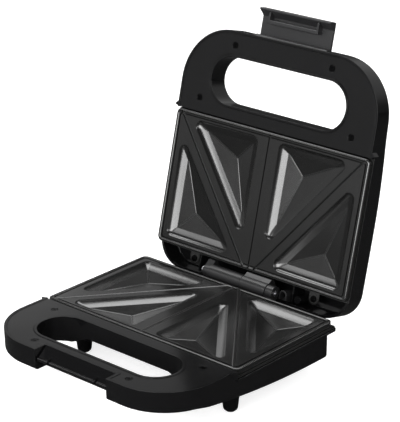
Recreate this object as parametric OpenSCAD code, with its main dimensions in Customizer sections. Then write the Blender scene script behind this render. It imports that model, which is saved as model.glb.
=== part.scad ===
// Sandwich toaster with two hinged halves, each with a loop handle, a cast plate with four
// triangular pockets, a heating element and a heat shield. A latch on the lid's handle
// swings down and snaps under a ledge in the base's handle.
//
// Both halves are drawn outwards from the seam: z = 0 is the top of the plate's rim, +z goes
// into the half, y = 0 is the plate's rear edge and -y is the front. in_base() turns the
// base's half over and stands it on the floor. in_lid() opens the lid's half about the hinge.

/* [Plates] */
// Width of each cast plate
plate_w = 223.4; // [212:0.2:226]
// Depth of each cast plate
plate_d = 127.4; // [124:0.2:128]
// Height of the skirt around a plate
plate_skirt = 5.8; // [5:0.2:6]
// Length of a pocket's straight side along the width
pocket_leg_x = 79.9; // [74:0.1:80.5]
// Length of a pocket's straight side along the depth
pocket_leg_y = 97; // [90:0.5:98]
// Depth of a pocket at the point where its three floors meet
pocket_depth = 8; // [6.5:0.5:8.5]
// Depth of a pocket at the foot of its curved walls
pocket_wall_depth = 5.4; // [4.5:0.1:6]
// Thickness of the base's cast plate
base_cast = 3.3; // [2.4:0.1:3.6]
// Thickness of the lid's cast plate
lid_cast = 2.4; // [2:0.1:3]

/* [Shells] */
// Width of both halves
body_w = 224; // [222:0.5:230]
// Distance from the plate's front edge to the front of the handle
handle_reach = 81.6; // [78:0.2:86]
// Radius of the handle's front corners, seen from above
corner_r = 52.7; // [46:0.1:60]
// Thickness of the base's moulded walls
wall = 2.4; // [2:0.1:2.6]
// Thickness of the lid's moulded walls
lid_wall = 2.1; // [1.8:0.1:2.4]
// Depth of the base's shell behind the handle
base_depth = 33.3; // [31:0.1:34]
// Depth of the lid's shell behind the handle
lid_depth = 26.6; // [25:0.1:29]
// Depth of both handles
handle_depth = 19.5; // [18.5:0.1:21]

/* [Handle slots] */
// Width of a handle's slot
slot_w = 154.4; // [148:0.2:160]
// Depth of a handle's slot
slot_d = 44; // [40:0.5:45]
// Thickness of the bar in front of a slot
bar_d = 23.5; // [23:0.5:26]
// Thickness of the panel that closes a handle
cover_t = 2; // [1.6:0.1:2.4]

/* [Hinge] */
// Angle by which the lid stands open
lid_open = 104.1; // [95:0.1:104.5]
// Gap between the closed plates
lid_gap = 1; // [0.6:0.1:1.4]
// Distance of the hinge pin behind the plates
hinge_back = 12; // [11.5:0.1:13]
// Outer radius of the hinge's long barrels
knuckle_r = 7.2; // [6.4:0.1:7.4]

/* [Latch] */
// Width of the latch's flap
latch_w = 80; // [70:1:81]
// Reach of the latch from its pin to its lip
latch_reach = 26.7; // [26:0.1:27.5]

/* [Feet] */
// Height of the seam above the floor
seam_height = 53; // [50:1:60]
// Radius of a front foot at its top
foot_top_r = 9.4; // [8:0.1:9.4]
// Radius of a rear foot at its top
rear_foot_top_r = 7; // [6.6:0.1:7]
// Radius of a foot at its bottom
foot_r = 6.2; // [5.8:0.1:6.4]

/* [Hidden] */
$fn = 48;

// Plan of the halves
front_y = -plate_d - handle_reach;      // front of the handle
half_w = body_w / 2;
cover_back = -plate_d - 1;              // rear edge of the handle's panel
slot_front = front_y + bar_d;
slot_back = slot_front + slot_d;
slot_x = slot_w / 2;
slot_r = slot_d / 2;
edge_r = 2.3;                           // rounding of the shells' outer edges
draft = 0.3;                            // how far the outer walls lean in
seat = 0.4;                             // gap around the handle's panel
cut = 40;                               // reach of a cut that goes right through

// Base half: its rear edge, corner radius and half width there, and its flange
base_back = -4;
base_back_r = 4.5;
base_back_hw = 111.3;
flange_back = 3;
flange_hw = 114.5;
flange_top = 7.5;
flange_t = 2.1;

// Lid half: its rear edge and corner radius, and where its rim lies beside the plate
lid_back = 21;
lid_back_r = 27;
lid_rim = 6;

// Plates
rim_r = 1.7;                            // half the width of the raised rim
field = 0.6;                            // depth of the flat field below the rim
skirt_t = 3.2;
pocket_r = 5.8;                         // corner radius of a pocket's mouth
pocket_foot_r = 1;                      // corner radius at the foot of its walls
pocket_sweep = 10.5;                    // how far a pocket's curved wall reaches inwards
pocket_wall_angle = 75;                 // how far the wall's curve turns
outer_pocket = [101.7, -7.8];            // square corner of the pocket at the rear outside
inner_pocket = [12.5, -plate_d + 6.7];  // square corner of the pocket at the front middle
divider_start = 6.4;                    // where a diagonal divider leaves the rear edge
divider_end = 106.1;                    // and where it reaches the front edge
post_r = 4;
post_places = [[8.5, -14], [77.4, -90]];

// Inside
element_r = 3.2;
element_z = 14.6;
lid_element_z = 13.9;
shield_z = 18.6;
lid_shield_z = 17.8;
shield_t = 0.8;
ear_x = 71;                             // the screwed ears behind the lid's plate
ear_y = 8.5;
ear_z = 10.2;
ear_t = 0.8;

// Screws
screw_places = [[87.5, front_y + 67.4], [55.3, front_y + 13]];
screw_head_r = 2.7;
screw_r = 1.5;
case_screw_r = 3.2;                     // hole for the heads of the screws below the base
case_seat = base_depth - 4.5;           // and the depth at which they rest

// Hinge: its axis in the base's and in the lid's own drawing
hinge_drop = 0.6;
lid_axis_z = -hinge_drop - lid_gap;
hinge_pin_r = 2;
base_knuckles = [[-38, -0.2, knuckle_r], [29.3, 37, knuckle_r - 0.8]];
lid_knuckles = [[-46, -38.3, 5.2], [0.2, 29, knuckle_r]];
bracket_x = [-49, 40];
bracket_t = 2.3;

// Latch: its pin's place in the lid's drawing, its recess in the base and notch in the lid
latch_y = front_y + 1.5;
latch_z = 10.2;
latch_pin_r = 1.45;
latch_barrel_r = 2.5;
flap_z = 14;
flap_t = 2.5;
lip_z = 7.7;
frame_x = 27.5;                         // half width of the ribbed frame
frame_top = 7.3;
rib_t = 1.6;
recess_x = 41.5;
recess_back = front_y + 12.5;
ledge_top = 8;
ledge_t = 4;
ledge_front = front_y + 1;
notch_back = front_y + 5.6;
notch_floor = 7;

// Feet: two under the front of the plate, two near the rear edge
feet = [[87, -107], [-87, -107], [66, -11.5], [-66, -11.5]];
pad_r = 4.8;
pad_t = 2.5;
pad_proud = 1;

// Cord inlet
inlet_x = 47;
inlet_z = 21;
inlet_r = 3.4;
gland_r = 5;
clamp_y = -12.5;

// The origin lies on the floor under the middle of the open toaster's depth
function opened_y(y, z) = hinge_back + (y - hinge_back) * cos(lid_open)
                          + (z - lid_axis_z) * sin(lid_open);
origin_y = -(front_y + opened_y(latch_y - latch_reach, flap_z + flap_t)) / 2;

// ---------- Placing ----------

module in_base() translate([0, origin_y, seam_height]) mirror([0, 0, 1]) children();

module in_lid()
    translate([0, origin_y + hinge_back, seam_height - hinge_drop]) rotate([-lid_open, 0, 0])
        translate([0, -hinge_back, -lid_axis_z]) children();

module both_sides() {
    children();
    mirror([1, 0, 0]) children();
}

// ---------- Shapes ----------

// An outline in the plane of depth and height, carried from x0 to x1
module along_x(x0, x1) translate([x0, 0, 0]) rotate([90, 0, 90]) linear_extrude(x1 - x0) children();

module rod_x(x0, x1, r) translate([x0, 0, 0]) rotate([0, 90, 0]) cylinder(r = r, h = x1 - x0);

// A rectangle from corner a to corner b with round corners
module round_rect(a, b, r) {
    translate([a[0] + r, a[1]]) square([b[0] - a[0] - 2 * r, b[1] - a[1]]);
    translate([a[0], a[1] + r]) square([b[0] - a[0], b[1] - a[1] - 2 * r]);
    for (x = [a[0] + r, b[0] - r], y = [a[1] + r, b[1] - r]) translate([x, y]) circle(r);
}

function arc(centre, r, from, to, steps) =
    [for (i = [0:steps]) let (a = from + (to - from) * i / steps)
        centre + r * [cos(a), sin(a)]];

function at_height(points, z) = [for (p = points) [p[0], p[1], z]];

// A solid through a stack of rings with the same number of points each, lowest ring first,
// each ring running clockwise as seen from above.
// Its ends are closed by strips between points that mirror each other, or by a tip.
module loft(rings, tip = undef) {
    n = len(rings[0]);
    top = (len(rings) - 1) * n;
    points = [for (ring = rings, p = ring) p];
    walls = [for (i = [0:n:top - 1], j = [0:n - 1]) let (a = i + j, b = i + (j + 1) % n)
        each [[a, b + n, a + n], [a, b, b + n]]];
    half = floor(n / 2);
    bottom_end = [for (k = [0:half - 2]) let (m = n - 1 - k)
        each [[k, m - 1, k + 1], [k, m, m - 1]]];
    top_end = [for (f = bottom_end) [f[2] + top, f[1] + top, f[0] + top]];
    tip_end = [for (j = [0:n - 1]) [top + j, top + (j + 1) % n, len(points)]];
    flat_end = [[for (j = [n - 1:-1:0]) j]];
    if (tip == undef)
        polyhedron(points, concat(bottom_end, walls, top_end), convexity = 6);
    else
        polyhedron(concat(points, [tip]), concat(flat_end, walls, tip_end), convexity = 6);
}

// ---------- Handle and shell forms ----------

// One side of a half's outline, from the rear edge round to the front edge
function side_line(inset, back, back_r, back_hw, detail) = concat(
    arc([back_hw - back_r, back - back_r], back_r - inset, 90, 0, detail),
    [for (i = [1:detail]) let (t = i / (detail + 1), y0 = back - back_r, y1 = front_y + corner_r)
        [(back_hw + (half_w - back_hw) * t) - inset, y0 + (y1 - y0) * t]],
    arc([half_w - corner_r, front_y + corner_r], corner_r - inset, 0, -90, 2 * detail));

function whole_line(side) =
    concat(side, [for (i = [len(side) - 1:-1:0]) [-side[i][0], side[i][1]]]);

// Depth of a shell's outer face: even over the handle, then falling away to its full depth
function face_z(y, depth, from, to, power) =
    let (t = min(max((y - from) / (to - from), 0), 1))
    handle_depth + (depth - handle_depth) * (1 - pow(1 - t, power));

// form is [back, back_r, back_hw, depth, from, to, power]
base_form = [base_back, base_back_r, base_back_hw, base_depth, -172, -15, 2];
lid_form = [lid_back, lid_back_r, half_w, lid_depth, -150, -60, 2];

function form_z(form, y) = face_z(y, form[3], form[4], form[5], form[6]);

function form_ring(form, inset, lift, detail) =
    let (line = whole_line(side_line(inset, form[0], form[1], form[2], detail)))
    [for (p = line) [p[0], p[1], form_z(form, p[1]) - lift]];

// The full outer form of a half, with its outer edge rounded
module outer_form(form) {
    detail = 9;
    seam = whole_line(side_line(0, form[0], form[1], form[2], detail));
    edge = [for (a = [0:22.5:90])
        form_ring(form, draft + edge_r * (1 - cos(a)), edge_r * (1 - sin(a)), detail)];
    loft(concat([at_height(seam, 0)], edge));
}

// The space inside a half's walls
module inner_form(form, t) {
    detail = 4;
    seam = whole_line(side_line(t, form[0], form[1], form[2], detail));
    loft([at_height(seam, -1), form_ring(form, t + draft, t + edge_r / 2, detail),
          form_ring(form, t + draft + edge_r / 2, t, detail)]);
}

module slot_outline(grow = 0)
    round_rect([-slot_x - grow, slot_front - grow], [slot_x + grow, slot_back + grow],
               slot_r + grow - 0.01);

function scoop_ring(grow, z) = at_height(whole_line(arc([40, slot_back - 14], 16 + grow, 90, -90, 12)), z);

// The hollow below the base that lets the fingers reach round behind the slot
module finger_scoop() {
    flare = 20;
    top = handle_depth - 2.5;
    loft([scoop_ring(0, top), scoop_ring(flare, top + flare * 0.6), scoop_ring(flare, top + 30)]);
}

module screw_post(place, base_z, top_z, r) translate([place[0], place[1], base_z])
    cylinder(r = r, h = top_z - base_z);

// What stands inside a handle: the slot's wall, the wall behind it and the panel's posts
module handle_ribs(depth, t) {
    linear_extrude(depth) slot_outline(t);
    translate([-half_w, cover_back - t, cover_t + seat + 0.25]) cube([body_w, t, depth]);
    both_sides() for (p = screw_places) screw_post(p, cover_t + seat + 0.05, depth, 3.4);
}

// A pointed corner where the handle meets the part behind it
module handle_spurs(height) both_sides() linear_extrude(height)
    polygon([[half_w - 2, cover_back - 5.4], [half_w - 0.1, cover_back - 5.4], [flange_hw + 0.8, cover_back - 2.4],
             [flange_hw + 0.8, cover_back - 1.8], [half_w - 0.1, cover_back - 0.8], [half_w - 2, cover_back - 0.8]]);

module cover_screw_holes()
    both_sides() for (p = screw_places) screw_post(p, cover_t, 13, screw_r);

// ---------- Shells ----------

module base_flange() {
    opening = [plate_w / 2 - 2, -2];
    intersection() {
        linear_extrude(flange_top + flange_t) difference() {
            round_rect([-flange_hw, front_y], [flange_hw, flange_back], 4);
            round_rect([-opening[0], -plate_d + 1.4], opening, 4);
            translate([bracket_x[0] - 1, -10]) square([bracket_x[1] - bracket_x[0] + 2, 20]);
        }
        translate([-flange_hw, cover_back - 0.5, flange_top]) cube([2 * flange_hw, 150, flange_t]);
    }
}

// A foot stands in a hole in the shell's floor. Its top lies inside the shell.
module foot(place, grow = 0) {
    front = place[1] < -50;
    top_r = front ? foot_top_r : rear_foot_top_r;
    top = front ? 23.8 : 29.2;
    translate([place[0], place[1], 0]) rotate_extrude()
        polygon([[0, top - grow], [top_r + grow, top - grow], [foot_r + 0.25 + grow, seam_height - 3],
            [foot_r - 0.3 + grow, seam_height - 1.6], [foot_r - 1 + grow, seam_height - pad_proud],
            [0, seam_height - pad_proud]]);
}

module feet() color([0.05, 0.05, 0.055]) in_base() difference() {
    for (p = feet) foot(p);
    for (p = feet) screw_post(p, seam_height - pad_t, seam_height + 1, pad_r);
}

// Ramp and ledge that the latch snaps under
module latch_ledge() difference() {
    along_x(-40.2, 40.2)
        polygon([[recess_back + 1, 0.2], [recess_back, 0.2], [ledge_front + 1.8, ledge_top],
                 [ledge_front + 0.5, ledge_top], [ledge_front, ledge_top + 0.5],
                 [ledge_front, ledge_top + ledge_t - 1.4], [ledge_front + 1.4, ledge_top + ledge_t],
                 [recess_back + 1, ledge_top + ledge_t]]);
    both_sides() translate([frame_x - rib_t / 2 - 0.4, ledge_front - 1, 0])
        cube([rib_t + 0.8, 6, cut]);
}

module base_housing() color([0.05, 0.05, 0.055]) in_base() {
    difference() {
        union() {
            difference() {
                outer_form(base_form);
                difference() {
                    inner_form(base_form, wall);
                    handle_ribs(base_depth, wall);
                    translate([0, 0, -1.15 * wall]) finger_scoop();
                    translate([-recess_x - wall, front_y, -2])
                        cube([2 * (recess_x + wall), recess_back + wall - front_y, cut]);
                    for (p = post_places) both_sides()
                        screw_post(p, shield_z + shield_t + 0.1, base_depth, post_r);
                    for (x = [-7, 7])
                        screw_post([inlet_x + x, clamp_y], 18.6, base_depth, 3);
                }
                translate([-half_w - 1, cover_back, -1]) cube([body_w + 2, 150, flange_top + 1]);
                finger_scoop();
                translate([0, 0, -1]) linear_extrude(cut) slot_outline();
                translate([-recess_x, front_y - 1, -1])
                    cube([2 * recess_x, recess_back - front_y + 1, cut]);
            }
            base_flange();
            latch_ledge();
            handle_spurs(6.8);
        }
        cover_screw_holes();
        for (p = post_places) both_sides() {
            screw_post(p, 0, cut, screw_r);
            screw_post(p, case_seat, cut, case_screw_r);
        }
        for (x = [-7, 7]) screw_post([inlet_x + x, clamp_y], 18, 27, 1.1);
        for (p = feet) foot(p, 0.05);
        translate([inlet_x, base_back + 1, inlet_z]) rotate([90, 0, 0]) cylinder(r = gland_r, h = 7);
        for (x = bracket_screw_x) translate([x, 0, 16]) rotate([90, 0, 0]) cylinder(r = 1.3, h = 9);
    }
}

module lid_housing() color([0.05, 0.05, 0.055]) in_lid() {
    difference() {
        union() {
            outer_form(lid_form);
            handle_spurs(6.8);
        }
        difference() {
            inner_form(lid_form, lid_wall);
            handle_ribs(lid_depth, lid_wall);
            translate([-recess_x - 5, front_y, notch_floor - wall])
                cube([2 * (recess_x + 5), notch_back + wall - front_y, cut]);
            both_sides() screw_post([ear_x, ear_y], ear_z + ear_t + 0.05, lid_depth, 3.4);
            for (x = [-62, 49]) translate([x, -3, lid_rim + 1.4]) cube([1.2, lid_back, lid_depth]);
            screw_post([55, 14], lid_rim + 2, lid_depth, 3.5);
        }
        translate([-half_w - 4, cover_back, -1]) cube([body_w + 8, 180, lid_rim + 1]);
        translate([0, 0, -1]) linear_extrude(cut) slot_outline();
        translate([-recess_x, front_y - 1, notch_floor])
            cube([2 * recess_x, notch_back - front_y + 1, cut]);
        cover_screw_holes();
        both_sides() screw_post([ear_x, ear_y], ear_z, 20, 1.3);
        translate([0, latch_y, latch_z]) rod_x(-46, 46, latch_pin_r);
        for (x = lamp_x) screw_post([x, lamp_y], 10, cut, lamp_r);
        for (x = lid_bracket_screw_x) translate([x, lid_back - 0.6, 12]) rotate([90, 0, 0])
            cylinder(r = 1.3, h = 9);
    }
}

// ---------- Handle panels ----------

module handle_panel(t) {
    edge = t + seat;
    translate([0, 0, seat]) linear_extrude(cover_t) difference() {
        intersection() {
            round_rect([-half_w + edge, front_y + edge], [half_w - edge, 0], corner_r - edge);
            translate([-half_w, front_y]) square([body_w, cover_back - seat - front_y]);
        }
        slot_outline(edge);
        both_sides() for (p = screw_places) translate(p) circle(screw_head_r + 0.6);
    }
    both_sides() for (p = screw_places) difference() {
        screw_post(p, seat + 1.2, seat + cover_t, screw_head_r + 0.6);
        screw_post(p, 0, 5, screw_r + 0.2);
    }
}

module base_handle_cover() color([0.09, 0.09, 0.095]) in_base() difference() {
    handle_panel(wall);
    edge = wall + seat;
    translate([-recess_x - edge, front_y - 1, -1])
        cube([2 * (recess_x + edge), recess_back + edge - front_y + 1, 5]);
}

module lid_handle_cover() color([0.08, 0.08, 0.085]) in_lid() handle_panel(lid_wall);

// A countersunk screw with a cross in its head, standing on z = 0 with its shank upwards
module cross_screw(head_r, head_t, shank_r, length) difference() {
    union() {
        cylinder(r = head_r, h = head_t);
        cylinder(r = shank_r, h = length);
    }
    for (a = [0, 90]) rotate([0, 0, a]) translate([-head_r * 0.6, -0.35, -1]) cube([head_r * 1.2, 0.7, 1.7]);
}

module cover_screws() both_sides() for (p = screw_places)
    translate([p[0], p[1], seat + 0.2]) cross_screw(screw_head_r, 1, screw_r, 12);

module base_cover_screws() color([0.2, 0.2, 0.21]) in_base() cover_screws();

module lid_cover_screws() color([0.2, 0.2, 0.21]) in_lid() cover_screws();

// ---------- Plates ----------

// Ring of a pocket: a triangle with its straight sides along x and y, drawn in by inset
function pocket_ring(inset, r, z, steps) =
    let (hyp = norm([pocket_leg_x, pocket_leg_y]),
         reach = (pocket_leg_x + pocket_leg_y - hyp) / 2,
         middle = -[reach, reach],
         k = 1 - (inset + r) / reach,
         lean = atan2(pocket_leg_y, pocket_leg_x),
         square_c = middle * (1 - k),
         left_c = middle + k * ([-pocket_leg_x, 0] - middle),
         low_c = middle + k * ([0, -pocket_leg_y] - middle))
    at_height(concat(arc(square_c, r, 90, 0, steps), arc(low_c, r, 0, -90 - (90 - lean), steps),
                     arc(left_c, r, -180 + lean, -270, steps)), z);

function pocket_middle() =
    let (reach = (pocket_leg_x + pocket_leg_y - norm([pocket_leg_x, pocket_leg_y])) / 2)
    -[reach, reach];

// The hollow of a pocket: curved walls down to three flat floors that meet in a tip
module pocket() {
    steps = 6;
    wall_rings = [for (a = [0:15:pocket_wall_angle])
        let (inset = pocket_sweep * (1 - cos(a)), t = a / pocket_wall_angle)
        pocket_ring(inset, pocket_r + (pocket_foot_r - pocket_r) * t,
                    field + (pocket_wall_depth - field) * sin(a) / sin(pocket_wall_angle), steps)];
    mouth = [pocket_ring(-1.1, pocket_r + 1.1, field - 0.6, steps),
             pocket_ring(-0.5, pocket_r + 0.5, field, steps),
             pocket_ring(-0.15, pocket_r + 0.15, field + 0.35, steps)];
    rings = concat(mouth, [for (i = [1:len(wall_rings) - 1]) wall_rings[i]]);
    m = pocket_middle();
    loft(rings, [m[0], m[1], pocket_depth]);
}

// The underside of a pocket, which bulges below the plate by the thickness t
module pocket_bulge(t) {
    steps = 3;
    rings = [pocket_ring(-t + 0.4, pocket_r + 2, field + 1, steps),
             pocket_ring(1.4 - t, pocket_r + 1, 4.4, steps),
             pocket_ring(5.4 - t, pocket_r, 4.2 + t, steps),
             pocket_ring(10.3 - t, pocket_foot_r + 1, 5.5 + t, steps)];
    m = pocket_middle();
    loft(rings, [m[0], m[1], pocket_depth + t - 0.2]);
}

// Two pockets a side: the front one is the rear one turned half a turn
module at_pockets() both_sides() {
    translate(outer_pocket) children();
    translate(inner_pocket) rotate([0, 0, 180]) children();
}

// Half-round rim along the plate's edge
module plate_rim() {
    bend = 3.3;
    x = plate_w / 2 - rim_r;
    y = [-plate_d + rim_r, -rim_r];
    translate([0, 0, rim_r]) {
        for (side = y) translate([0, side, 0]) rod_x(-x + bend, x - bend, rim_r);
        for (side = [-x, x]) translate([side, y[0] + bend, 0]) rotate([-90, 0, 0])
            cylinder(r = rim_r, h = y[1] - y[0] - 2 * bend);
        for (i = [0, 1], j = [0, 1])
            translate([(2 * i - 1) * (x - bend), j == 0 ? y[0] + bend : y[1] - bend, 0])
                rotate([0, 0, j == 0 ? (i == 0 ? 180 : 270) : (i == 0 ? 90 : 0)])
                    rotate_extrude(angle = 90) translate([bend, 0]) circle(rim_r, $fn = 32);
    }
}

// Straight lines that part the four pockets: one down the middle, one along each diagonal
module dividers(r, z) {
    y = [-plate_d + rim_r, -rim_r];
    start = [divider_start, y[1]];
    run = [divider_end - divider_start, y[0] - y[1]];
    translate([0, y[0], z]) rotate([-90, 0, 0]) cylinder(r = r, h = y[1] - y[0]);
    both_sides() translate([start[0], start[1], z]) rotate([0, 0, atan2(run[1], run[0])])
        rod_x(0, norm(run), r);
}

// Sharp lip around the foot of a plate's skirt, between the heights z and z + t
module plate_lip(reach, z, t) translate([0, 0, z]) linear_extrude(t) difference() {
    round_rect([-plate_w / 2 - reach, -plate_d - 0.3], [plate_w / 2 + reach, reach], 1.2);
    round_rect([-plate_w / 2 + 1.5, -plate_d + 1.5], [plate_w / 2 - 1.5, -1.5], 3);
}

module plate_body(post_z, t) {
    corner = 5;
    a = [-plate_w / 2, -plate_d];
    b = [plate_w / 2, 0];
    difference() {
        translate([0, 0, field]) linear_extrude(plate_skirt - field) round_rect(a, b, corner);
        translate([0, 0, field + t]) linear_extrude(plate_skirt)
            round_rect(a + [skirt_t, skirt_t], b - [skirt_t, skirt_t], corner - 2);
        difference() {
            translate([0, 0, -1]) linear_extrude(field + 1.7)
                round_rect(a + [3.6, 3.6], b - [3.6, 3.6], corner - 2);
            translate([0, 0, -2]) linear_extrude(5)
                round_rect(a + [4.9, 4.9], b - [4.9, 4.9], corner - 3);
        }
    }
    plate_rim();
    both_sides() for (p = post_places) screw_post(p, field + 1, post_z, post_r);
}

module plate_posts_bored() both_sides() for (p = post_places) screw_post(p, 8, cut, 1.2);

module base_plate() color([0.2, 0.2, 0.2]) in_base() difference() {
    union() {
        plate_body(shield_z, base_cast);
        plate_lip(1.4, plate_skirt - 0.3, 1.7);
        at_pockets() pocket_bulge(base_cast);
        dividers(rim_r, rim_r);
    }
    at_pockets() pocket();
    plate_posts_bored();
}

// A lug behind the lid's plate, which a screw holds to the shell
module plate_ear() {
    translate([ear_x - 5.5, -3, plate_skirt - 1.3]) cube([11, 3, ear_z + ear_t - plate_skirt + 1.3]);
    translate([ear_x - 5.5, -3, ear_z]) cube([11, ear_y + 3, ear_t]);
    screw_post([ear_x, ear_y], ear_z, ear_z + ear_t, 5.5);
}

module lid_plate() color([0.2, 0.2, 0.2]) in_lid() difference() {
    union() {
        plate_body(lid_shield_z, lid_cast);
        plate_lip(0.9, plate_skirt - 1.1, 1.1);
        at_pockets() pocket_bulge(lid_cast);
        both_sides() plate_ear();
    }
    both_sides() screw_post([ear_x, ear_y], 0, cut, 1.5);
    at_pockets() pocket();
    dividers(1, 0.5);
    plate_posts_bored();
}

// Base: long screws from below hold the shell, the shield and the plate together
module base_plate_screws() color([0.6, 0.6, 0.6]) in_base() both_sides() for (p = post_places)
    translate([p[0], p[1], case_seat + 1]) mirror([0, 0, 1]) cross_screw(2.9, 1, 1.2, case_seat - 9);

// Lid: short screws hold the plate to the shield
module lid_plate_screws() color([0.6, 0.6, 0.6]) in_lid() both_sides() for (p = post_places)
    translate([p[0], p[1], lid_shield_z + shield_t + 0.9]) mirror([0, 0, 1]) cross_screw(2.4, 0.9, 1.2, 11);

// ---------- Heating ----------

module bend_tube(centre, radius, from) translate([centre[0], centre[1], 0]) rotate([0, 0, from])
    rotate_extrude(angle = 90) translate([radius, 0]) circle(element_r, $fn = 32);

module tube_y(x, y0, y1) translate([x, y0, 0]) rotate([-90, 0, 0]) cylinder(r = element_r, h = y1 - y0);

// A sheathed element bent into a loop, with both ends at the rear
module element(z) {
    bend = 10;
    x = [18, 64];
    y = [-11.5, -32, -99];
    translate([0, 0, z]) {
        both_sides() {
            tube_y(x[0], y[1] + bend, y[0]);
            bend_tube([x[0] + bend, y[1] + bend], bend, 180);
            translate([0, y[1], 0]) rod_x(x[0] + bend, x[1] - bend, element_r);
            bend_tube([x[1] - bend, y[1] - bend], bend, 0);
            tube_y(x[1], y[2] + bend, y[1] - bend);
            bend_tube([x[1] - bend, y[2] + bend], bend, 270);
            translate([x[0], y[0], 0]) rotate([-90, 0, 0]) cylinder(r = 1.2, h = 3);
        }
        translate([0, y[2], 0]) rod_x(bend - x[1], x[1] - bend, element_r);
    }
}

module base_heating_element() color([0.45, 0.42, 0.4]) in_base() element(element_z);

module lid_heating_element() color([0.45, 0.42, 0.4]) in_lid() element(lid_element_z);

// A folded sheet tray that keeps the heat off the shell
module shield_tray(z, front) {
    a = [-103.5, front];
    b = [103.5, -8];
    height = 5;
    difference() {
        translate([0, 0, z - height]) linear_extrude(height + shield_t) round_rect(a, b, 4);
        translate([0, 0, z - height - 1]) linear_extrude(height + 1)
            round_rect(a + [shield_t, shield_t], b - [shield_t, shield_t], 3.2);
        both_sides() for (p = post_places) screw_post(p, 0, cut, 1.6);
        both_sides() translate([18 - 4, -12, 0]) cube([8, 8, z - 0.4]);
    }
}

module base_heat_shield() color([0.7, 0.7, 0.7]) in_base() difference() {
    shield_tray(shield_z, -119);
    translate([inlet_x - 12, -17, 0]) cube([24, 20, cut]);
}

module lid_heat_shield() color([0.7, 0.7, 0.7]) in_lid() shield_tray(lid_shield_z, -104);

module lid_ear_screws() color([0.16, 0.16, 0.16]) in_lid() both_sides()
    translate([ear_x, ear_y, ear_z - 1.2]) cross_screw(2.9, 1.2, 1.3, 9);

// A bimetal disc switch against the middle of the base plate
module thermostat() color([0.75, 0.72, 0.65]) in_base() translate([0, -75, field + base_cast]) {
    cylinder(r = 7.8, h = 4);
    cylinder(r = 6.4, h = 8);
    for (s = [-1, 1]) translate([s * 4.2 - 1.6, -0.4, 8]) cube([3.2, 0.8, 5]);
}

// A thermal cut-off in its sleeve, pressed to the plate by a strap
module thermal_fuse() color([0.85, 0.8, 0.7]) in_base() translate([0, -45, field + base_cast + 2.4]) {
    rotate([-90, 0, 0]) translate([0, 0, -8]) cylinder(r = 2.4, h = 16);
    translate([-7, -3, 1.6]) cube([14, 6, 0.8]);
    for (s = [-1, 1]) translate([s * 6 - 1, -3, -2.4]) cube([2, 6, 4.2]);
}

module terminal_block() color([0.9, 0.88, 0.8]) in_base() translate([30, -37, shield_z + shield_t + 0.05]) difference() {
    cube([26, 11, 7.6]);
    for (i = [0:2]) {
        translate([4.5 + i * 8.5, -1, 3.8]) rotate([-90, 0, 0]) cylinder(r = 1.7, h = 13);
        translate([4.5 + i * 8.5, 5.5, -1]) cylinder(r = 1.9, h = 4);
    }
}

// ---------- Cord inlet ----------

module cord_clamp() color([0.15, 0.15, 0.15]) in_base() translate([inlet_x, clamp_y, 0]) difference() {
    translate([-10, -3, 16]) cube([20, 6, 2.5]);
    for (x = [-7, 7]) translate([x, 0, 10]) cylinder(r = 1.3, h = 12);
}

module cord_clamp_screws() color([0.6, 0.6, 0.6]) in_base() for (x = [-7, 7])
    translate([inlet_x + x, clamp_y, 14.8]) cross_screw(2.3, 1.2, 1.1, 10.5);

// A bush that grips the edge of its hole in the rear wall
module cord_gland() color([0.06, 0.06, 0.06]) in_base()
    translate([inlet_x, base_back + 2, inlet_z]) rotate([90, 0, 0]) rotate_extrude()
        polygon([[inlet_r, 0], [gland_r + 1, 0], [gland_r + 1.6, 0.6], [gland_r + 1.6, 2],
                 [gland_r - 0.1, 2], [gland_r - 0.1, 5.2], [gland_r + 0.6, 5.2], [gland_r + 0.6, 6],
                 [gland_r + 0.2, 6.6], [inlet_r, 6.6]]);

module foot_pads() color([0.12, 0.12, 0.12]) in_base() for (p = feet)
    translate([p[0], p[1], seam_height - pad_t])
        rotate_extrude() polygon([[0, 0], [pad_r, 0], [pad_r, pad_t - 0.6], [pad_r - 0.6, pad_t], [0, pad_t]]);

// ---------- Hinge ----------

bracket_screw_x = [-43.5, 15];
lid_bracket_screw_x = [-20, 33.5];
lid_bracket_y = lid_back - 5.2;

arch_x = 42;
arch_r = 4.3;

// Outline of the round-topped guard beside the hinge
module arch_outline(r) {
    circle(r);
    translate([-r, 0]) square([2 * r, lid_bracket_y - 12.4 + (r == arch_r ? 1 : 2)]);
}

module base_hinge_bracket() color([0.16, 0.16, 0.165]) in_base() difference() {
    union() {
        for (k = base_knuckles) along_x(k[0], k[1]) {
            translate([hinge_back, hinge_drop]) circle(k[2]);
            polygon([[base_back + 1, 9.2], [1.2, 8.2], [6.5, 3], [hinge_back, hinge_drop + k[2]],
                     [hinge_back - 1.8, 8.6], [7, 12], [base_back + 1, 15.5]]);
        }
        translate([bracket_x[0], base_back + 0.1, 9])
            cube([bracket_x[1] - bracket_x[0] - 4, bracket_t, 13]);
    }
    translate([0, hinge_back, hinge_drop]) rod_x(-60, 60, hinge_pin_r);
    for (x = bracket_screw_x) translate([x, 0, 16]) rotate([90, 0, 0]) cylinder(r = 1.5, h = 9);
}

module base_hinge_screws() color([0.5, 0.5, 0.5]) in_base() for (x = bracket_screw_x)
    translate([x, base_back + bracket_t + 1.35, 16]) rotate([90, 0, 0]) cross_screw(2.6, 1.2, 1.3, 6);

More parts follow.
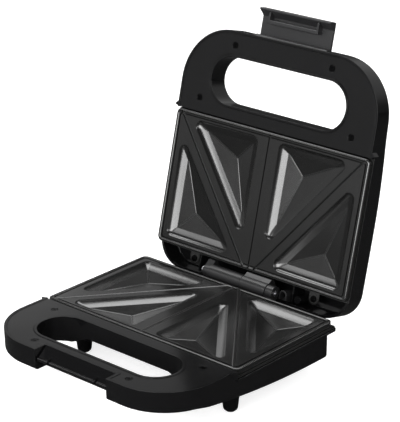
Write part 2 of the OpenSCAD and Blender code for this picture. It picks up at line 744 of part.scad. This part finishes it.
module lid_hinge_bracket() color([0.16, 0.16, 0.165]) in_lid() difference() {
    union() {
        for (k = lid_knuckles) along_x(k[0], k[1]) {
            translate([hinge_back, lid_axis_z]) circle(k[2]);
            polygon([[hinge_back - k[2] + 0.5, lid_axis_z - 1.8], [1.8, 0.4], [1.8, 3.6],
                     [hinge_back - 4.4, 8], [hinge_back - 2, 13], [lid_bracket_y + 1.5, 16],
                     [lid_bracket_y + 1.5, 8], [hinge_back + k[2] - 0.3, lid_axis_z + 1]]);
        }
        translate([bracket_x[0] + 2, lid_bracket_y, 7.5])
            cube([arch_x + arch_r - bracket_x[0] - 2, bracket_t, 11]);
        translate([arch_x, 12.4, 3]) linear_extrude(14) difference() {
            arch_outline(arch_r);
            arch_outline(arch_r - 1.4);
        }
    }
    translate([0, hinge_back, lid_axis_z]) rod_x(-60, 60, hinge_pin_r + 0.07);
    for (x = lid_bracket_screw_x) translate([x, lid_back, 12]) rotate([90, 0, 0]) cylinder(r = 1.5, h = 20);
}

module lid_hinge_screws() color([0.5, 0.5, 0.5]) in_lid() for (x = lid_bracket_screw_x)
    translate([x, lid_bracket_y - 1.2, 12]) rotate([-90, 0, 0]) cross_screw(2.6, 1.2, 1.3, 5.6);

module hinge_pin() color([0.7, 0.7, 0.7]) in_base() translate([0, hinge_back, hinge_drop]) {
    rod_x(-47, 39, hinge_pin_r);
    rod_x(-48.4, -46.05, 3.4);
    rod_x(37.4, 38.4, 3.2);
}

// ---------- Lamps ----------

lamp_x = [-16, 16];
lamp_y = slot_back + 6.2;
lamp_r = 2.9;

lamp_z = form_z(lid_form, lamp_y) - lid_wall - 1.7;

module lamp_lens(x) translate([x, lamp_y, lamp_z]) rotate_extrude()
    polygon([[0, 0], [3.5, 0], [3.5, 1], [lamp_r - 0.05, 1], [lamp_r - 0.05, 4.2], [2.4, 4.8],
             [1.3, 5.2], [0, 5.3]]);

module power_lamp_lens() color([0.8, 0.1, 0.08]) in_lid() lamp_lens(lamp_x[0]);

module ready_lamp_lens() color([0.1, 0.6, 0.2]) in_lid() lamp_lens(lamp_x[1]);

module neon_lamps() color([0.95, 0.7, 0.5]) in_lid() for (x = lamp_x)
    translate([x, lamp_y, cover_t + seat + 0.1]) {
        length = lamp_z - cover_t - seat - 2.4;
        cylinder(r = 2.2, h = length);
        translate([0, 0, length]) sphere(2.2);
    }

// ---------- Latch ----------

// The latch swings on its pin: a flap with a curled lip and a ribbed frame that stiffens it
module latch() color([0.09, 0.09, 0.095]) in_lid() {
    lip_y = latch_y - latch_reach;
    difference() {
        union() {
            translate([0, latch_y, latch_z]) rod_x(-latch_w / 2 - 0.6, latch_w / 2 + 0.6, latch_barrel_r);
            along_x(-latch_w / 2, latch_w / 2)
                polygon([[latch_y + 2.2, latch_z], [latch_y + 2.2, flap_z + flap_t - 1.5],
                         [latch_y + 0.7, flap_z + flap_t], [lip_y + 0.8, flap_z + flap_t],
                         [lip_y, flap_z + flap_t - 0.8], [lip_y, lip_z + 0.5], [lip_y + 0.4, lip_z],
                         [lip_y + 1.5, lip_z], [lip_y + 5.8, flap_z - 1.1], [lip_y + 7.4, flap_z],
                         [latch_y - 2.2, flap_z], [latch_y - 2.2, latch_z]]);
            along_x(-frame_x - rib_t / 2, frame_x + rib_t / 2)
                polygon([[lip_y + 9.6, flap_z + 1], [lip_y + 9.6, frame_top + 0.4],
                         [lip_y + 10, frame_top], [lip_y + 12.6, frame_top], [lip_y + 13, frame_top + 0.4],
                         [lip_y + 13, flap_z + 1]]);
            both_sides() along_x(frame_x - rib_t / 2, frame_x + rib_t / 2)
                polygon([[lip_y + 2.6, flap_z + 1], [lip_y + 2.6, frame_top], [lip_y + 10, frame_top],
                         [lip_y + 10, flap_z + 1]]);
        }
        translate([0, latch_y, latch_z]) rod_x(-60, 60, latch_pin_r + 0.07);
    }
}

module latch_pin() color([0.7, 0.7, 0.7]) in_lid() translate([0, latch_y, latch_z])
    rod_x(-45.5, 45.5, latch_pin_r);

// ---------- Parts ----------

base_housing();
base_handle_cover();
base_cover_screws();
base_plate();
base_plate_screws();
base_heating_element();
base_heat_shield();
thermostat();
thermal_fuse();
terminal_block();
cord_clamp();
cord_clamp_screws();
cord_gland();
feet();
foot_pads();
base_hinge_bracket();
base_hinge_screws();
hinge_pin();
lid_housing();
lid_handle_cover();
lid_cover_screws();
lid_plate();
lid_plate_screws();
lid_heating_element();
lid_heat_shield();
lid_ear_screws();
lid_hinge_bracket();
lid_hinge_screws();
power_lamp_lens();
ready_lamp_lens();
neon_lamps();
latch();
latch_pin();
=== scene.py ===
"""Open sandwich toaster on a pale floor: materials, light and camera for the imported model."""
import math
import bmesh
import bpy
from mathutils import Matrix, Vector


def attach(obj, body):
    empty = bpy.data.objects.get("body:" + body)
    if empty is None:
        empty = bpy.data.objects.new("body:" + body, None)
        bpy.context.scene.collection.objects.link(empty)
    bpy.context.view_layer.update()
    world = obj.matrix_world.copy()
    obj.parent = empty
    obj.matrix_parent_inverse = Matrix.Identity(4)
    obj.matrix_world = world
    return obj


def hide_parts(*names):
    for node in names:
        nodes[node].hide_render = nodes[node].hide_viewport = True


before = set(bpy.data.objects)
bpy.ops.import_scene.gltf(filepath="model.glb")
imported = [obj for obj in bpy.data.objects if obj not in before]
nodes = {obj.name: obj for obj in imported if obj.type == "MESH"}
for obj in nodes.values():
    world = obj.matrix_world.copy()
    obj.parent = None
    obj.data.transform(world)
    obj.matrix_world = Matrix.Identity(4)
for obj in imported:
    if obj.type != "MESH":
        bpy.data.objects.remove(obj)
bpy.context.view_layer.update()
scene = bpy.context.scene

# ---------- Camera ----------

# Angles in degrees: the camera stands to the right of the front, looks down and is hardly tilted
AZIMUTH = 41.92
ELEVATION = 21.47
ROLL = -0.41
CAMERA_PLACE = (0.9777, -1.0760, 0.7154)
FOCAL_PIXELS = 1812.59      # focal length in pixels of the picture
PICTURE_HEIGHT = 422        # its longer side in pixels
SENSOR = 36                 # and in millimetres
SIGHT = 20                  # how far the camera sees, in metres

azimuth, elevation, roll = (math.radians(angle) for angle in (AZIMUTH, ELEVATION, ROLL))
back = Vector((math.sin(azimuth) * math.cos(elevation),
               -math.cos(azimuth) * math.cos(elevation),
               math.sin(elevation)))
level_right = Vector((math.cos(azimuth), math.sin(azimuth), 0))
level_top = back.cross(level_right)
camera_right = level_right * math.cos(roll) + level_top * math.sin(roll)
camera_top = -level_right * math.sin(roll) + level_top * math.cos(roll)
turn = Matrix((camera_right, camera_top, back)).transposed().to_4x4()
turn.translation = Vector(CAMERA_PLACE)

camera = bpy.data.cameras.new("camera")
camera.sensor_width = SENSOR
camera.lens = FOCAL_PIXELS / PICTURE_HEIGHT * SENSOR
camera.clip_end = SIGHT
camera_ob = bpy.data.objects.new("camera", camera)
camera_ob.matrix_world = turn
scene.collection.objects.link(camera_ob)
scene.camera = camera_ob

# ---------- Materials ----------

# Noise scales are in cells per metre, and lengths in metres
NOISE_RANGE = (0.3, 0.7)    # nearly all of the noise lies in here
FINE = 0.6                  # how strongly the finest layers of a fine noise count

COLOR_DRIFT = 35            # slow changes of a plastic's colour
GLOSS_DRIFT = 28            # slow changes of its roughness
GLOSS_SPAN = 0.015          # how far its roughness goes to either side
SOFT_EDGE = 0.0004          # radius to which its edges look rounded
GRAIN_STRENGTH = 0.35

COAT_FLECKS = 900
COAT_FINE = 1400
COAT_PEEL = 420
COAT_DRIFT = 22
COAT_FINE_RANGE = (0.42, 0.72)
COAT_DARK = (0.0035, 0.0035, 0.0034)
COAT_LIGHT = (0.0105, 0.0105, 0.0102)
COAT_GLOSS = (0.19, 0.25)   # roughness, from the coat's glossiest to its dullest parts
COAT_DEPTH = 0.00003        # of the flecks and of the peel
FLECK_STRENGTH = 0.08
PEEL_STRENGTH = 0.3
COAT_LEVEL = 1.0            # specular level of the clean coat

HOLLOW = 0.0016             # how far away a wall still casts painted shade into a hollow of the coat
OPEN_SHARE = (0.6, 0.93)    # how open it is around a point, from where the coat takes its full painted shade to none
# Painted shade in the coat's grooves and hollows: its colour, roughness and specular level
PAINTED_SHADE = (0.004, 0.004, 0.0038)
PAINTED_SHADE_ROUGH = 0.75
PAINTED_SHADE_LEVEL = 0.1

METAL_LINES = 900
METAL_DULL = 0.8            # colour of a metal's darker lines, as a share of its own
METAL_DEPTH = 0.00005
METAL_SPAN = (-0.06, 0.08)  # how far its roughness goes to either side
PLAIN_GRAIN = 500
PLAIN_SPAN = 0.05           # how far a plain material's roughness goes to either side
PLAIN_DEPTH = 0.0001
LENS_GRAIN = 80
SOFT_BUMP = 0.2             # strength of the bump of metals and plain materials


class Nodes:
    """A node tree that starts empty: add() makes a node, and sets or links its inputs."""

    def __init__(self, tree):
        self.tree = tree
        tree.nodes.clear()

    def add(self, kind, inputs=None, **settings):
        node = self.tree.nodes.new("ShaderNode" + kind)
        for name, value in settings.items():
            setattr(node, name, value)
        for name, value in (inputs or {}).items():
            if isinstance(value, bpy.types.NodeSocket):
                self.tree.links.new(value, node.inputs[name])
            else:
                node.inputs[name].default_value = value
        return node

    def mix(self, kind, fac, a, b):
        """Goes from a to b, which are colours where kind is RGBA and numbers where it is FLOAT."""
        return self.add("Mix", {"Factor": fac, "A": a, "B": b}, data_type=kind).outputs["Result"]

    def remap(self, value, to, start=NOISE_RANGE, **settings):
        return self.add("MapRange", {"Value": value, "From Min": start[0], "From Max": start[1],
                                     "To Min": to[0], "To Max": to[1]}, **settings).outputs["Result"]

    def larger(self, a, b):
        return self.add("Math", {0: a, 1: b}, operation="MAXIMUM").outputs[0]


class Look(Nodes):
    """The nodes of a new material."""

    def __init__(self, name):
        self.material = bpy.data.materials.new(name)
        self.material.use_nodes = True
        super().__init__(self.material.node_tree)

    def where(self):
        return self.add("TexCoord").outputs["Object"]

    def noise(self, scale, detail=2, rough=0.5, vector=None):
        return self.add("TexNoise", {"Vector": vector or self.where(), "Scale": scale,
                                     "Detail": detail, "Roughness": rough}).outputs["Fac"]

    def tone(self, fac, dark, light):
        return self.mix("RGBA", fac, (*dark, 1), (*light, 1))

    def bump(self, height, strength, depth, below=None):
        inputs = {"Height": height, "Strength": strength, "Distance": depth}
        if below:
            inputs["Normal"] = below
        return self.add("Bump", inputs).outputs["Normal"]

    def surface(self, shader):
        self.add("OutputMaterial", {"Surface": shader})
        return self.material

    def principled(self, **inputs):
        """The finished material. An input's name is its socket's, with _ for each space."""
        named = {name.replace("_", " "): value for name, value in inputs.items()}
        return self.surface(self.add("BsdfPrincipled", named).outputs["BSDF"])


def plastic(name, dark, light, rough, grain, depth, level=0.5):
    """Moulded plastic: faint colour drift, eroded grain and softened edges."""
    k = Look(name)
    fine = k.noise(grain, 2, FINE)
    soft = k.add("Bevel", {"Radius": SOFT_EDGE}, samples=4).outputs["Normal"]
    return k.principled(Base_Color=k.tone(k.noise(COLOR_DRIFT, 3), dark, light),
                        Roughness=k.remap(k.noise(GLOSS_DRIFT), (rough - GLOSS_SPAN, rough + GLOSS_SPAN)),
                        Specular_IOR_Level=level,
                        Normal=k.bump(fine, GRAIN_STRENGTH, depth, soft))


def coated(name):
    """Non-stick coating: dark grey, faintly flecked and rippled, with painted shade in grooves and
    hollows, where it turns darker, rougher and loses its gloss.
    """
    k = Look(name)
    flecks = k.add("TexVoronoi", {"Vector": k.where(), "Scale": COAT_FLECKS}).outputs["Distance"]
    speckle = k.remap(k.noise(COAT_FINE, 2, FINE), (0, 1), COAT_FINE_RANGE)
    # painted shade: ambient occlusion darkens the coat's colour and cuts its gloss in grooves and hollows
    openness = k.add("AmbientOcclusion", {"Distance": HOLLOW}, samples=8).outputs["AO"]
    unshaded = k.remap(openness, (0, 1), OPEN_SHARE)
    color = k.mix("RGBA", unshaded, (*PAINTED_SHADE, 1), k.tone(speckle, COAT_DARK, COAT_LIGHT))
    gloss = k.remap(k.noise(COAT_DRIFT, 3), COAT_GLOSS)
    peel = k.bump(k.noise(COAT_PEEL), PEEL_STRENGTH, COAT_DEPTH)
    return k.principled(Base_Color=color,
                        Roughness=k.mix("FLOAT", unshaded, PAINTED_SHADE_ROUGH, gloss),
                        Specular_IOR_Level=k.mix("FLOAT", unshaded, PAINTED_SHADE_LEVEL, COAT_LEVEL),
                        Normal=k.bump(flecks, FLECK_STRENGTH, COAT_DEPTH, peel))


def metal(name, color, rough, stretch=(1, 1, 1)):
    """Drawn or turned metal: fine lines and small changes of gloss."""
    k = Look(name)
    along = k.add("Mapping", {"Vector": k.where(), "Scale": stretch}).outputs["Vector"]
    lines = k.noise(METAL_LINES, 3, FINE, along)
    dull = tuple(METAL_DULL * c for c in color)
    return k.principled(Base_Color=k.tone(lines, dull, color),
                        Metallic=1,
                        Roughness=k.remap(lines, (rough + METAL_SPAN[0], rough + METAL_SPAN[1])),
                        Normal=k.bump(lines, SOFT_BUMP, METAL_DEPTH))


def plain(name, dark, light, rough, grain=PLAIN_GRAIN, **more):
    """A material of one fine grain that changes its colour, roughness and height together."""
    k = Look(name)
    fine = k.noise(grain, 3, FINE)
    return k.principled(Base_Color=k.tone(fine, dark, light),
                        Roughness=k.remap(fine, (rough - PLAIN_SPAN, rough + PLAIN_SPAN)),
                        Normal=k.bump(fine, SOFT_BUMP, PLAIN_DEPTH), **more)


def lens(name, dark, light, rough, clear):
    """A plain material of coarser grain that lets light through."""
    return plain(name, dark, light, rough, LENS_GRAIN, Transmission_Weight=clear)


looks = {
    "shell": plastic("shell_plastic", (0.0035, 0.0035, 0.0037), (0.005, 0.005, 0.0053),
                     rough=0.13, grain=700, depth=0.000008, level=0.42),
    "panel": plastic("panel_plastic", (0.0045, 0.0045, 0.0047), (0.006, 0.006, 0.0063),
                     rough=0.16, grain=1500, depth=0.000008, level=0.42),
    "latch": plastic("latch_plastic", (0.016, 0.016, 0.017), (0.021, 0.021, 0.022),
                     rough=0.36, grain=1300, depth=0.00008),
    "hinge": plastic("hinge_plastic", (0.011, 0.011, 0.0114), (0.015, 0.015, 0.0155),
                     rough=0.34, grain=1200, depth=0.00005),
    "coat": coated("non_stick_coating"),
    "dark_screw": metal("blackened_steel", (0.017, 0.017, 0.0175), 0.22),
    "screw": metal("zinc_plated_steel", (0.62, 0.62, 0.64), 0.3),
    "pin": metal("drawn_steel", (0.55, 0.55, 0.57), 0.28, (0.05, 1, 1)),
    "element": metal("heater_sheath", (0.3, 0.27, 0.25), 0.45),
    "sheet": metal("rolled_aluminium", (0.8, 0.8, 0.81), 0.32, (0.04, 1, 1)),
    "ceramic": plain("ceramic", (0.62, 0.56, 0.48), (0.72, 0.67, 0.58), 0.55),
    "nylon": plain("terminal_nylon", (0.7, 0.67, 0.58), (0.78, 0.76, 0.68), 0.45),
    "black_nylon": plain("black_nylon", (0.02, 0.02, 0.02), (0.03, 0.03, 0.03), 0.5),
    "rubber": plain("black_rubber", (0.018, 0.018, 0.018), (0.028, 0.028, 0.028), 0.7),
    "red": lens("red_lens", (0.5, 0.01, 0.008), (0.6, 0.02, 0.015), 0.12, 0.3),
    "green": lens("green_lens", (0.01, 0.3, 0.06), (0.02, 0.38, 0.08), 0.12, 0.3),
    "neon": lens("neon_glass", (0.85, 0.68, 0.5), (0.9, 0.75, 0.6), 0.1, 0.7),
}
worn_by = {
    "shell": ["base_housing", "lid_housing", "feet"],
    "panel": ["base_handle_cover", "lid_handle_cover"],
    "latch": ["latch"],
    "hinge": ["base_hinge_bracket", "lid_hinge_bracket"],
    "coat": ["base_plate", "lid_plate"],
    "dark_screw": ["base_cover_screws", "lid_cover_screws", "lid_ear_screws"],
    "screw": ["base_plate_screws", "lid_plate_screws", "cord_clamp_screws", "base_hinge_screws",
              "lid_hinge_screws"],
    "pin": ["hinge_pin", "latch_pin"],
    "element": ["base_heating_element", "lid_heating_element"],
    "sheet": ["base_heat_shield", "lid_heat_shield"],
    "ceramic": ["thermostat", "thermal_fuse"],
    "nylon": ["terminal_block"],
    "black_nylon": ["cord_clamp"],
    "rubber": ["cord_gland", "foot_pads"],
    "red": ["power_lamp_lens"],
    "green": ["ready_lamp_lens"],
    "neon": ["neon_lamps"],
}
for look, wearers in worn_by.items():
    for name in wearers:
        data = nodes[name].data
        data.materials.clear()
        data.materials.append(looks[look])

# ---------- Plates ----------

WELD = 1e-6                 # points nearer than this are one point

# Each pocket of a plate is a triangle, whose three corners are rounded by arcs of ARC points
CORNERS = 3
ARC = 7
POCKET_LEGS = (0.0799, 0.097)  # its straight sides, along the width and along the depth

# Heights over a pocket's tip of the rings of its wall, from the foot up, in the solid and as
# cast: the cast walls run straighter than the solid's, down to a crisp foot
SOLID_RINGS = (0.00310, 0.00389, 0.00492, 0.00611)
CAST_RINGS = {
    "base": (0.00360, 0.00480, 0.00590, 0.00680),
    "lid": (0.00345, 0.00430, 0.00512, 0.00630),
}
RING_REACH = 0.00002        # how near to that height the points of a ring lie

# Heights over a tip, between which the points of the narrow grooves' floors lie, and how much
# deeper the cast grooves are
GROOVES = (0.00645, 0.00695)
GROOVE_FALL = 0.0006

# The lid's parting grooves: the heights over a tip and half the width in which their points
# lie, and how much of that width each pass of pinch_dividers leaves
DIVIDER_BED = (0.0056, 0.00745)
DIVIDER_REACH = 0.00115
DIVIDER_PINCH = 0.75

# The raised line along a fold of the floors: its width, its height, how many steps its arch
# has to either side, and its rows, each with the place from tip to corner and the size there
CREASE_WIDTH = 0.0015
CREASE_HEIGHT = 0.00028
CREASE_STEPS = 3
CREASE_ROWS = ((-0.01, 1.0), (0.8, 1.0), (0.97, 0.35))


def pocket_floors(mesh):
    """For each pocket, its tip, the plate's outward direction and the ends of the floor's folds."""
    for tip in mesh.verts:
        if len(tip.link_faces) != CORNERS * ARC:
            continue
        ring = [edge.other_vert(tip).co for edge in tip.link_edges]
        out = (ring[ARC] - ring[0]).cross(ring[2 * ARC] - ring[0]).normalized()
        if (ring[0] - tip.co).dot(out) < 0:
            out.negate()
        first = (ring[0] - tip.co).normalized()
        second = out.cross(first)
        ring.sort(key=lambda c: math.atan2((c - tip.co).dot(second), (c - tip.co).dot(first)))
        gaps = [(ring[(i + 1) % len(ring)] - c).length for i, c in enumerate(ring)]
        sides = sorted(range(len(ring)), key=gaps.__getitem__)[-CORNERS:]
        ends = [ring[(i + 1 + ARC // 2) % len(ring)] for i in sides]
        yield tip.co.copy(), out, [end.copy() for end in ends]


def crease(mesh, tip, end, out):
    """A low arched line from a pocket's tip to a corner of its floor, faded at the corner."""
    along = (end - tip).normalized()
    across = along.cross(out).normalized()
    rise = across.cross(along)
    steps = [i / CREASE_STEPS for i in range(-CREASE_STEPS, CREASE_STEPS + 1)]
    outline = [(-1, -1), *((x, 1 - x ** 2) for x in steps), (1, -1)]
    rows = []
    for place, size in CREASE_ROWS:
        middle = tip.lerp(end, place)
        row = [middle + size * (across * x * CREASE_WIDTH / 2 + rise * z * CREASE_HEIGHT)
               for x, z in outline]
        rows.append([mesh.verts.new(c) for c in row])
    for a, b in zip(rows, rows[1:]):
        for i in range(len(a)):
            j = (i + 1) % len(a)
            mesh.faces.new((a[i], a[j], b[j], b[i]))
    mesh.faces.new(rows[0][::-1])
    mesh.faces.new(rows[-1])


def pinch_dividers(mesh, floors):
    """Narrows the lid's three parting grooves: each diagonal once, and the middle one twice, as
    it is passed from both sides."""
    wide = Vector((1, 0, 0))
    for sign in (-1, 1):
        tips = [tip for tip, _, _ in floors if tip.x * sign > 0]
        outer, inner = sorted(tips, key=lambda c: -abs(c.x))
        between = (outer + inner) / 2
        out = floors[0][1]
        deep = (outer - inner) - wide * (outer - inner).x
        deep.normalize()
        slant = (wide * sign * POCKET_LEGS[0] - deep * POCKET_LEGS[1]).normalized()
        for start, along in ((between, slant), (Vector((0, *between.yz)), deep)):
            across = along.cross(out)
            for v in mesh.verts:
                height = (v.co - outer).dot(out)
                off = (v.co - start).dot(across)
                if abs(off) < DIVIDER_REACH and DIVIDER_BED[0] < height < DIVIDER_BED[1]:
                    v.co -= across * off * (1 - DIVIDER_PINCH)


def cast_plate(node, body):
    """The plate as it is cast: the solid with straighter pocket walls and deeper grooves, and
    raised lines on the folds of its floors."""
    mesh = bmesh.new()
    mesh.from_mesh(nodes[node].data)
    bmesh.ops.remove_doubles(mesh, verts=mesh.verts, dist=WELD)
    floors = list(pocket_floors(mesh))
    tip, out, _ = floors[0]
    for v in mesh.verts:
        height = (v.co - tip).dot(out)
        for solid, cast in zip(SOLID_RINGS, CAST_RINGS[body]):
            if abs(height - solid) < RING_REACH:
                v.co += out * (cast - solid)
        if GROOVES[0] < height < GROOVES[1]:
            v.co -= out * GROOVE_FALL
    if body == "lid":
        pinch_dividers(mesh, floors)
    lines = bmesh.new()
    for tip, out, ends in floors:
        for end in ends:
            crease(lines, tip, end, out)
    bmesh.ops.recalc_face_normals(lines, faces=lines.faces)
    for name, made in ((node + "_cast", mesh), (node + "_creases", lines)):
        data = bpy.data.meshes.new(name)
        made.to_mesh(data)
        made.free()
        data.materials.append(looks["coat"])
        piece = bpy.data.objects.new(name, data)
        scene.collection.objects.link(piece)
        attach(piece, body)
        pieces.append(piece)
    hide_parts(node)


pieces = []
cast_plate("base_plate", "base")
cast_plate("lid_plate", "lid")

# ---------- Smooth shading ----------

SHARP_ANGLE = 32            # edges over this angle in degrees stay sharp
FAN = 20                    # a point with this many faces or more is a tip
TIP_SHARE = 0.2             # a face has one tip among its points from this share on


def smoothing_group():
    """Nodes that weld a mesh and shade it smooth, but for sharp edges, and for the faces that
    fan out from a tip, such as the floors of a pocket, which stay flat."""
    g = bpy.data.node_groups.new("smooth_by_angle", "GeometryNodeTree")
    g.interface.new_socket("Geometry", in_out="INPUT", socket_type="NodeSocketGeometry")
    g.interface.new_socket("Geometry", in_out="OUTPUT", socket_type="NodeSocketGeometry")
    link = g.links.new

    def over(value, bound):
        n = g.nodes.new("FunctionNodeCompare")
        n.operation = "GREATER_THAN"
        n.inputs[1].default_value = bound
        link(value, n.inputs[0])
        return n.outputs[0]

    def shade(before, smooth, domain, chosen=None):
        n = g.nodes.new("GeometryNodeSetShadeSmooth")
        n.domain = domain
        n.inputs["Shade Smooth"].default_value = smooth
        link(before, n.inputs[0])
        if chosen:
            link(chosen, n.inputs["Selection"])
        return n.outputs[0]

    weld = g.nodes.new("GeometryNodeMergeByDistance")
    weld.inputs["Distance"].default_value = WELD
    link(g.nodes.new("NodeGroupInput").outputs[0], weld.inputs["Geometry"])
    smooth = shade(weld.outputs["Geometry"], True, "FACE")

    faces = g.nodes.new("GeometryNodeInputMeshVertexNeighbors").outputs["Face Count"]
    tips = g.nodes.new("GeometryNodeFieldOnDomain")
    tips.domain = "POINT"
    link(over(faces, FAN - 0.5), tips.inputs[0])
    flat = shade(smooth, False, "FACE", over(tips.outputs[0], TIP_SHARE))

    angle = g.nodes.new("GeometryNodeInputMeshEdgeAngle").outputs["Unsigned Angle"]
    crisp = shade(flat, False, "EDGE", over(angle, math.radians(SHARP_ANGLE)))
    link(crisp, g.nodes.new("NodeGroupOutput").inputs[0])
    return g


smoothing = smoothing_group()
for ob in [*nodes.values(), *pieces]:
    ob.modifiers.new("smooth", "NODES").node_group = smoothing
for ob in nodes.values():
    weigh = ob.modifiers.new("even", "WEIGHTED_NORMAL")
    weigh.keep_sharp = True

# ---------- Floor ----------

FLOOR_SIZE = 6
FLOOR_GLOW = 0.78           # brings the floor near white to the camera, but for the shadow
FLOOR_GREY = 0.6            # of the light that falls on it, what the floor sends back
FLOOR_MIRRORED = 0.05       # and how much of it is seen in gloss


def grey(value):
    return (value, value, value, 1)


def floor_look():
    """Pale floor that shows as white, takes the object's shadow, and lights little from below."""
    k = Look("pale_floor")
    path = k.add("LightPath")
    matte = k.add("BsdfDiffuse", {"Color": grey(FLOOR_GREY)}).outputs["BSDF"]
    mirrored = k.add("BsdfDiffuse", {"Color": grey(FLOOR_MIRRORED)}).outputs["BSDF"]
    glow = k.add("Emission", {"Color": grey(1), "Strength": FLOOR_GLOW}).outputs["Emission"]
    shown = k.add("AddShader", {0: matte, 1: glow}).outputs[0]
    unseen = k.add("MixShader", {0: path.outputs["Is Glossy Ray"], 1: matte, 2: mirrored}).outputs[0]
    mixed = k.add("MixShader", {0: path.outputs["Is Camera Ray"], 1: unseen, 2: shown}).outputs[0]
    return k.surface(mixed)


bpy.ops.mesh.primitive_plane_add(size=FLOOR_SIZE, location=(0, 0, 0))
floor = bpy.context.object
floor.name = "floor"
floor.data.materials.append(floor_look())

# ---------- Room and lamps ----------

ROOM_DARK = 0.33            # how bright gloss sees the side of the room behind the camera
ROOM_BACK = 0.42            # how bright it sees the backdrop behind the object
ROOM_FOOT = 0.08            # how bright it sees the backdrop's foot
CEILING = 0.03              # how bright it sees the ceiling beside the lamps
FILL = 0.28                 # how strongly the room lights what is matte
TO_BACK = (-0.1, 0.35)      # y of a direction, from the dark side to the backdrop
TO_FULL = (0.02, 0.26)      # z of a direction, from the backdrop's foot to its full brightness
TO_CEILING = (0.35, 0.7)    # z of a direction, from the walls to the ceiling

world = bpy.data.worlds.new("white_studio")
scene.world = world
world.use_nodes = True
w = Nodes(world.node_tree)
path = w.add("LightPath").outputs
direction = w.add("SeparateXYZ", {0: w.add("TexCoord").outputs["Generated"]}).outputs
to_back = w.remap(direction["Y"], (0, 1), TO_BACK, interpolation_type="SMOOTHSTEP")
to_ceiling = w.remap(direction["Z"], (0, 1), TO_CEILING, interpolation_type="SMOOTHSTEP")
backdrop = w.remap(direction["Z"], (ROOM_FOOT, ROOM_BACK), TO_FULL, interpolation_type="SMOOTHSTEP")
walls = w.mix("FLOAT", to_back, ROOM_DARK, backdrop)
room = w.mix("FLOAT", to_ceiling, walls, CEILING)
in_gloss = w.larger(path["Is Glossy Ray"], path["Is Transmission Ray"])
light = w.mix("FLOAT", in_gloss, FILL, room)
strength = w.larger(path["Is Camera Ray"], light)
background = w.add("Background", {"Color": grey(1), "Strength": strength})
w.add("OutputWorld", {"Surface": background.outputs["Background"]})

# Each lamp: its place, the point it faces, its width and height, and its power in watts
LAMPS = {
    "overhead": ((-0.45, 0.4, 1.6), (-0.1, 0, 0.1), (1.8, 0.85), 25),
    "left": ((-1.4, 0.85, 0.5), (0, 0, 0.1), (0.5, 0.4), 0.5),
    "front_left": ((-1.07, -1.13, 0.95), (0, 0, 0.1), (0.6, 0.35), 2),
    "right": ((1.25, -0.72, 0.95), (0, 0, 0.05), (0.7, 0.7), 8),
    "front": ((0.2, -1.57, 0.7), (0, 0, 0.15), (1.2, 1.2), 33),
    "rear_right": ((0.95, 1.25, 1.0), (0, 0, 0.2), (0.3, 0.3), 3),
}
for name, (place, target, size, power) in LAMPS.items():
    data = bpy.data.lights.new(name, "AREA")
    data.shape = "RECTANGLE"
    data.size, data.size_y = size
    data.energy = power
    lamp = bpy.data.objects.new(name, data)
    lamp.location = place
    lamp.visible_camera = False
    lamp.rotation_euler = (Vector(target) - Vector(place)).to_track_quat("-Z", "Y").to_euler()
    scene.collection.objects.link(lamp)

scene.view_settings.view_transform = "Standard"
